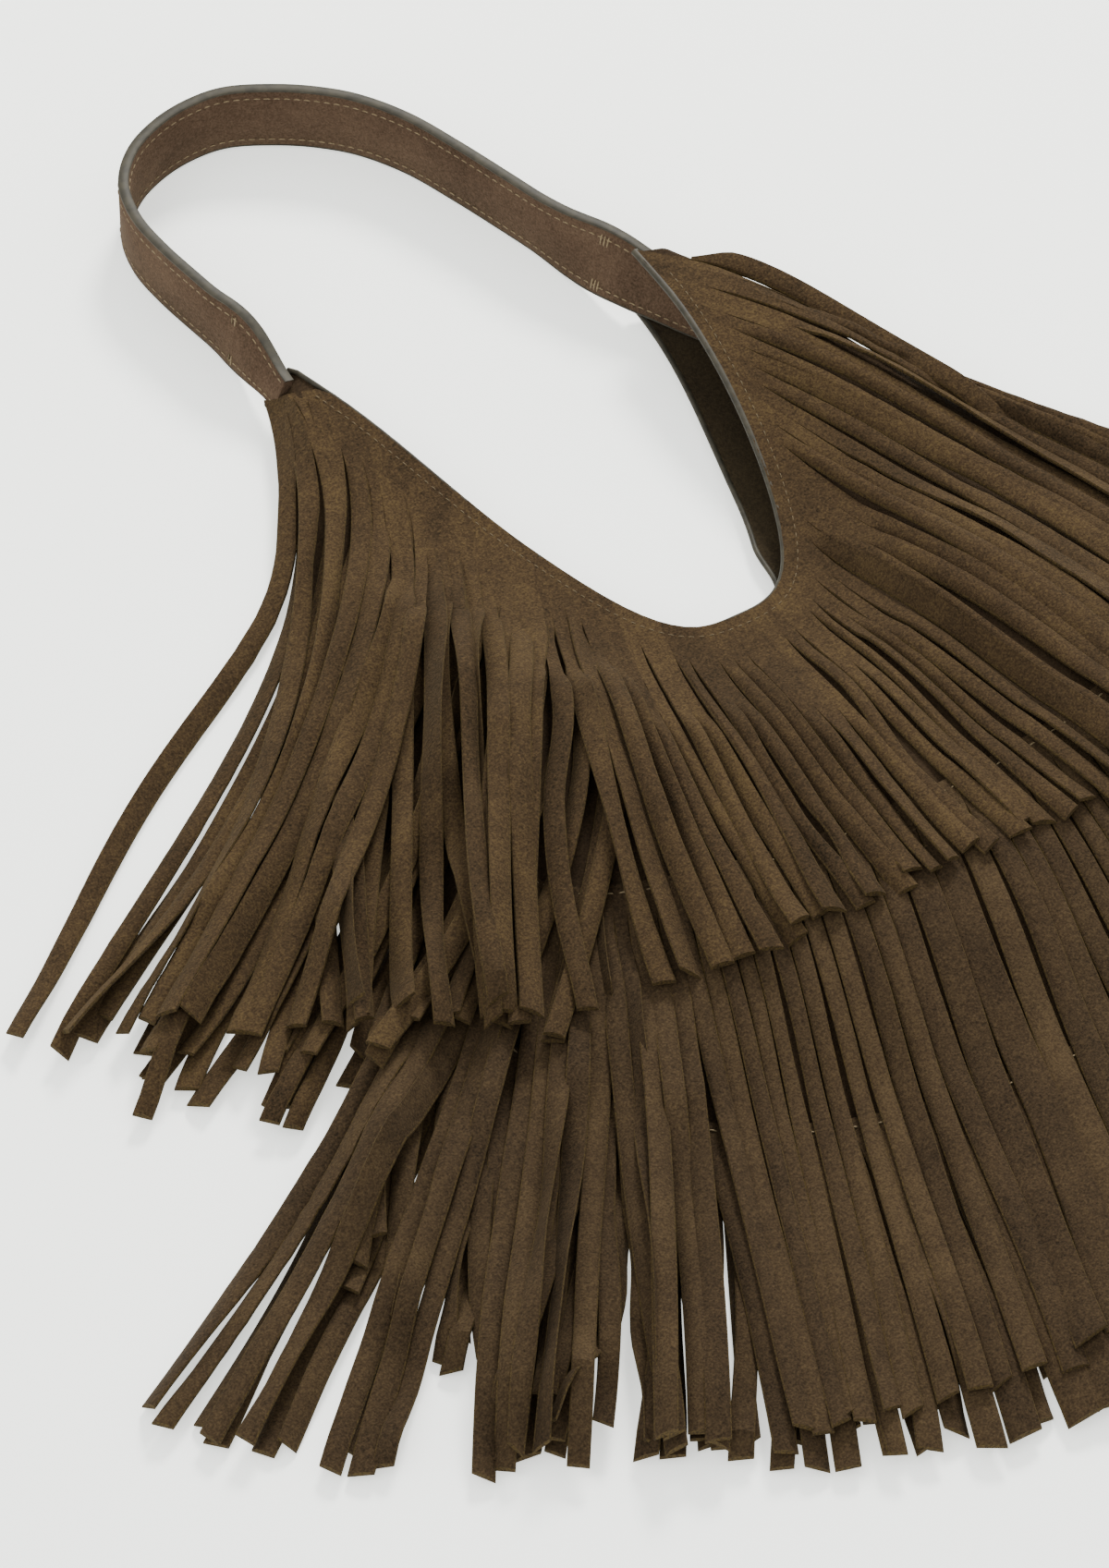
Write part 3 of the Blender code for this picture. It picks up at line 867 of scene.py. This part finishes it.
# millimetres: one layer, the gap at the middle plane, and how far the paint stands proud
LAYER = 1.9
SEWN_GAP = 0.05
EDGE_COAT = 0.5
PAINT_DEPTH = 0.9
outer = band("strap_outer", "strap_suede", SEWN_GAP, LAYER, EDGE_COAT, STRAP_WIDTH - EDGE_COAT, STRAP)
lining = band("strap_lining", "strap_suede", -SEWN_GAP, -LAYER, EDGE_COAT, STRAP_WIDTH - EDGE_COAT, STRAP)
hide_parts("strap_outer")
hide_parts("strap_lining")
for name, low in (("strap_edge_low", 0.0), ("strap_edge_high", STRAP_WIDTH - PAINT_DEPTH)):
    band(name, "edge_paint", -LAYER + SEWN_GAP, LAYER - SEWN_GAP, low, low + PAINT_DEPTH, EDGE_PAINT)

# %% [markdown]
# ## Edges and seams
# The mouth's edge is folded and painted, so it reads as a smooth grey-olive cord along the U. The
# stitches are 0.6 mm waxed thread: each one is a short capsule that dips into the suede at both
# ends, which is what makes a row of stitches look sewn rather than drawn.

# %% Mouth edge
def tube_rows(rings):
    """Faces over equal rings of points."""
    count, faces = len(rings[0]), []
    for k in range(len(rings) - 1):
        for j in range(count):
            j2 = (j + 1) % count
            faces.append((k * count + j, k * count + j2, k * count + count + j2, k * count + count + j))
    faces.append(tuple(reversed(range(count))))
    faces.append(tuple((len(rings) - 1) * count + j for j in range(count)))
    return faces


def mouth_bead(name, edge, height, radius, width, drop):
    """A flattened bead along the mouth's edge."""
    s = np.linspace(-1, 1, 241)
    x, y = edge(s)
    spot = np.stack([x, y], 1)
    tangent = np.gradient(spot, axis=0)
    tangent /= np.linalg.norm(tangent, axis=1)[:, None]
    away = np.stack([tangent[:, 1], -tangent[:, 0]], 1)
    rings, points = [], []
    for k in range(len(s)):
        ring = []
        for turn in np.linspace(0, 2 * pi, 10, endpoint=False):
            wide = width * (0.55 + 0.45 * smooth((s[k] + 0.3) / 0.3))
            shift = away[k] * (wide * cos(turn) * 0.5 + drop)
            px, py = spot[k] + shift
            ring.append((px, py, float(height(x[k], y[k])) + radius * sin(turn)))
        rings.append(ring)
        points += ring
    faces = tube_rows(rings)
    made = mesh_piece(name, points, faces, [0] * len(faces), [EDGE_PAINT], sharp=80)
    return made


mouth_bead("mouth_edge_front", mouth, lambda x, y: front_z(x, y) + 0.5, 1.15, 2.8, 0.3)
mouth_bead("mouth_edge_back", back_mouth, lambda x, y: back_z(x, y) - 0.5, 0.9, 2.0, 0.4)


# %% [markdown]
# ## Stitches
# A sewing machine leaves equal stitches at an equal pitch, so each row is a curve that is walked at
# that pitch. The mouth's thread is matched to the suede, and the strap's is lighter. Short bars of
# three stitches, called bartacks, hold the strap's layers near its ends.

# %% Stitch rows
# along a stitch: the share of its length, of its thickness, and how far it dips
CAPSULE = ((0, 0.35, 1.0), (0.18, 0.9, 0.35), (0.5, 1.0, 0.0), (0.82, 0.9, 0.35), (1, 0.35, 1.0))


def stitches(name, ends, radius=0.3, thread=THREAD):
    """Capsules between pairs of points, one mesh per seam."""
    points, faces = [], []
    for start, end in ends:
        start, end = Vector(start), Vector(end)
        axis = (end - start).normalized()
        side = axis.orthogonal().normalized()
        other = axis.cross(side)
        base = len(points)
        length = (end - start).length
        for share, thick, sink in CAPSULE:
            at = start + axis * length * share - Vector((0, 0, radius * sink))
            for turn in range(6):
                angle = turn * pi / 3
                points.append(tuple(at + (side * cos(angle) + other * sin(angle)) * radius * thick))
        for k in range(4):
            for j in range(6):
                j2, ring = (j + 1) % 6, base + 6 * k
                faces.append((ring + j, ring + j2, ring + 6 + j2, ring + 6 + j))
        faces.append(tuple(base + j for j in reversed(range(6))))
        faces.append(tuple(base + 24 + j for j in range(6)))
    made = mesh_piece(name, points, faces, [0] * len(faces), [thread], sharp=80)
    return made


def along_curve(points, pitch, length):
    """Start and end of each stitch along a 3D polyline."""
    points = np.array(points, float)
    run = np.r_[0, np.cumsum(np.linalg.norm(np.diff(points, axis=0), axis=1))]
    ends = []
    for at in np.arange(pitch / 2, run[-1] - length, pitch):
        a, b = ([np.interp(v, run, points[:, k]) for k in range(3)] for v in (at, at + length))
        ends.append((a, b))
    return ends


s = np.linspace(-0.97, 0.97, 400)
x, y = mouth(s)
tangent = np.gradient(np.stack([x, y], 1), axis=0)
tangent /= np.linalg.norm(tangent, axis=1)[:, None]
MOUTH_ROW_IN = 4.6
x, y = x + tangent[:, 1] * MOUTH_ROW_IN, y - tangent[:, 0] * MOUTH_ROW_IN
mouth_row = np.stack([x, y, front_z(x, y) + SUEDE + 0.4], 1)
stitches("mouth_stitches", along_curve(mouth_row, 3.4, 2.2), 0.22, DARK_THREAD)
for face, offset in (("inner", -LAYER - 0.05), ("outer", LAYER + 0.05)):
    for edge, rise in (("low", 3.8), ("high", STRAP_WIDTH - 3.8)):
        row = [strap_point(k, offset, rise) for k in range(len(middle))]
        stitches(f"strap_stitches_{face}_{edge}", along_curve(row, 3.5, 2.3), 0.25)
tacks = []
for at_run, offset in ((30, LAYER + 0.1), (STRAP_LENGTH - 50, -LAYER - 0.1)):
    for rise in (2.2, STRAP_WIDTH - 6.6):
        for across_at in (-0.9, 0, 0.9):
            k = int(np.searchsorted(strap_run, at_run + across_at))
            tacks.append((strap_point(k, offset, rise), strap_point(k, offset, rise + 4.4)))
stitches("strap_bartacks", tacks, 0.34)
seam_s = np.linspace(-0.97, 0.97, 300)
for name, seam, lift in (("middle_stitches", middle_seam, 1.75), ("lower_stitches", lower_seam, 1.75)):
    x, y, _ = seam(seam_s)
    stitches(name, along_curve(np.stack([x, y - 4.0, front_z(x, y) + lift], 1), 4.5, 2.7))

# %% [markdown]
# ## Flat sizes
# Every soft piece was cut flat from a hide. A fringe's flat size is the width of its strips side
# by side times the length of one strip with its band, and its width is the length of the seam it
# is sewn along, which is measured here for the lower fringe. A panel's cut is a half-moon.


def seam_length(seam):
    """The length of a sewn seam in millimetres, which is a fringe's width before it was cut."""
    x, y = seam(np.linspace(-1, 1, 200))[:2]
    return float(np.hypot(np.diff(x), np.diff(y)).sum())


LOWER_WIDTH = seam_length(lower_seam)

# %% [markdown]
# ## The table
# A pale seamless table. It glows a little, as paper on a light table does, so the shadows on it
# are faint and fall to the lower left.

# %% Floor
FLOOR = bpy.data.materials.new("matt white table")
FLOOR.use_nodes = True
floor_look = FLOOR.node_tree.nodes["Principled BSDF"].inputs
floor_look["Base Color"].default_value = linear("#f2f4ef")
floor_look["Roughness"].default_value = 0.9
floor_look["Specular IOR Level"].default_value = 0.1
# the table is lit from below as well, so its shadows stay faint
floor_look["Emission Color"].default_value = linear("#f2f4ef")
floor_look["Emission Strength"].default_value = 1.0
bpy.ops.mesh.primitive_plane_add(size=8, location=(0, 0, -0.0005))
table = bpy.context.object
table.name = "table"
table.data.materials.append(FLOOR)


# %% [markdown]
# ## Light and camera
# The key light is small enough to give each strip a dark side, and the fill and the surround are
# strong enough to keep the slits readable. Suede is dark and matt, so it needs both.

# %% Light and camera
def area_light(name, size, energy, place, target, colour):
    data = bpy.data.lights.new(name, "AREA")
    data.shape, data.size, data.energy, data.color = "DISK", size, energy, colour
    made = bpy.data.objects.new(name, data)
    bpy.context.collection.objects.link(made)
    made.location = place
    made.rotation_euler = (Vector(target) - Vector(place)).to_track_quat("-Z", "Y").to_euler()
    return made


area_light("key", 0.7, 104, (1.3, 1.5, 1.7), (0, 0, 0), (1.0, 0.985, 0.96))
area_light("fill", 2.4, 30, (-1.8, -0.6, 2.2), (0, 0, 0), (0.97, 0.985, 1.0))
world = bpy.data.worlds.new("studio")
bpy.context.scene.world = world
world.use_nodes = True
world.node_tree.nodes["Background"].inputs["Color"].default_value = (0.98, 0.985, 0.98, 1)
world.node_tree.nodes["Background"].inputs["Strength"].default_value = 1.5

# the camera looks down at 50 degrees with a long lens, which keeps the bag's true proportions
ELEVATION, TURN, DISTANCE = radians(50), radians(30), 3.0
look = Vector((sin(TURN) * cos(ELEVATION), cos(TURN) * cos(ELEVATION), -sin(ELEVATION)))
aim = Vector((-0.084, 0.001, 0.0))
lens = bpy.data.cameras.new("camera")
lens.lens, lens.clip_end = 210, 20
camera = bpy.data.objects.new("camera", lens)
bpy.context.collection.objects.link(camera)
camera.location = aim - look * DISTANCE
camera.rotation_euler = look.to_track_quat("-Z", "Y").to_euler()
bpy.context.scene.camera = camera

# %% [markdown]
# ## Sizes
# The scene is brought up to date once everything is placed.

# %% Sizes
bpy.context.view_layer.update()
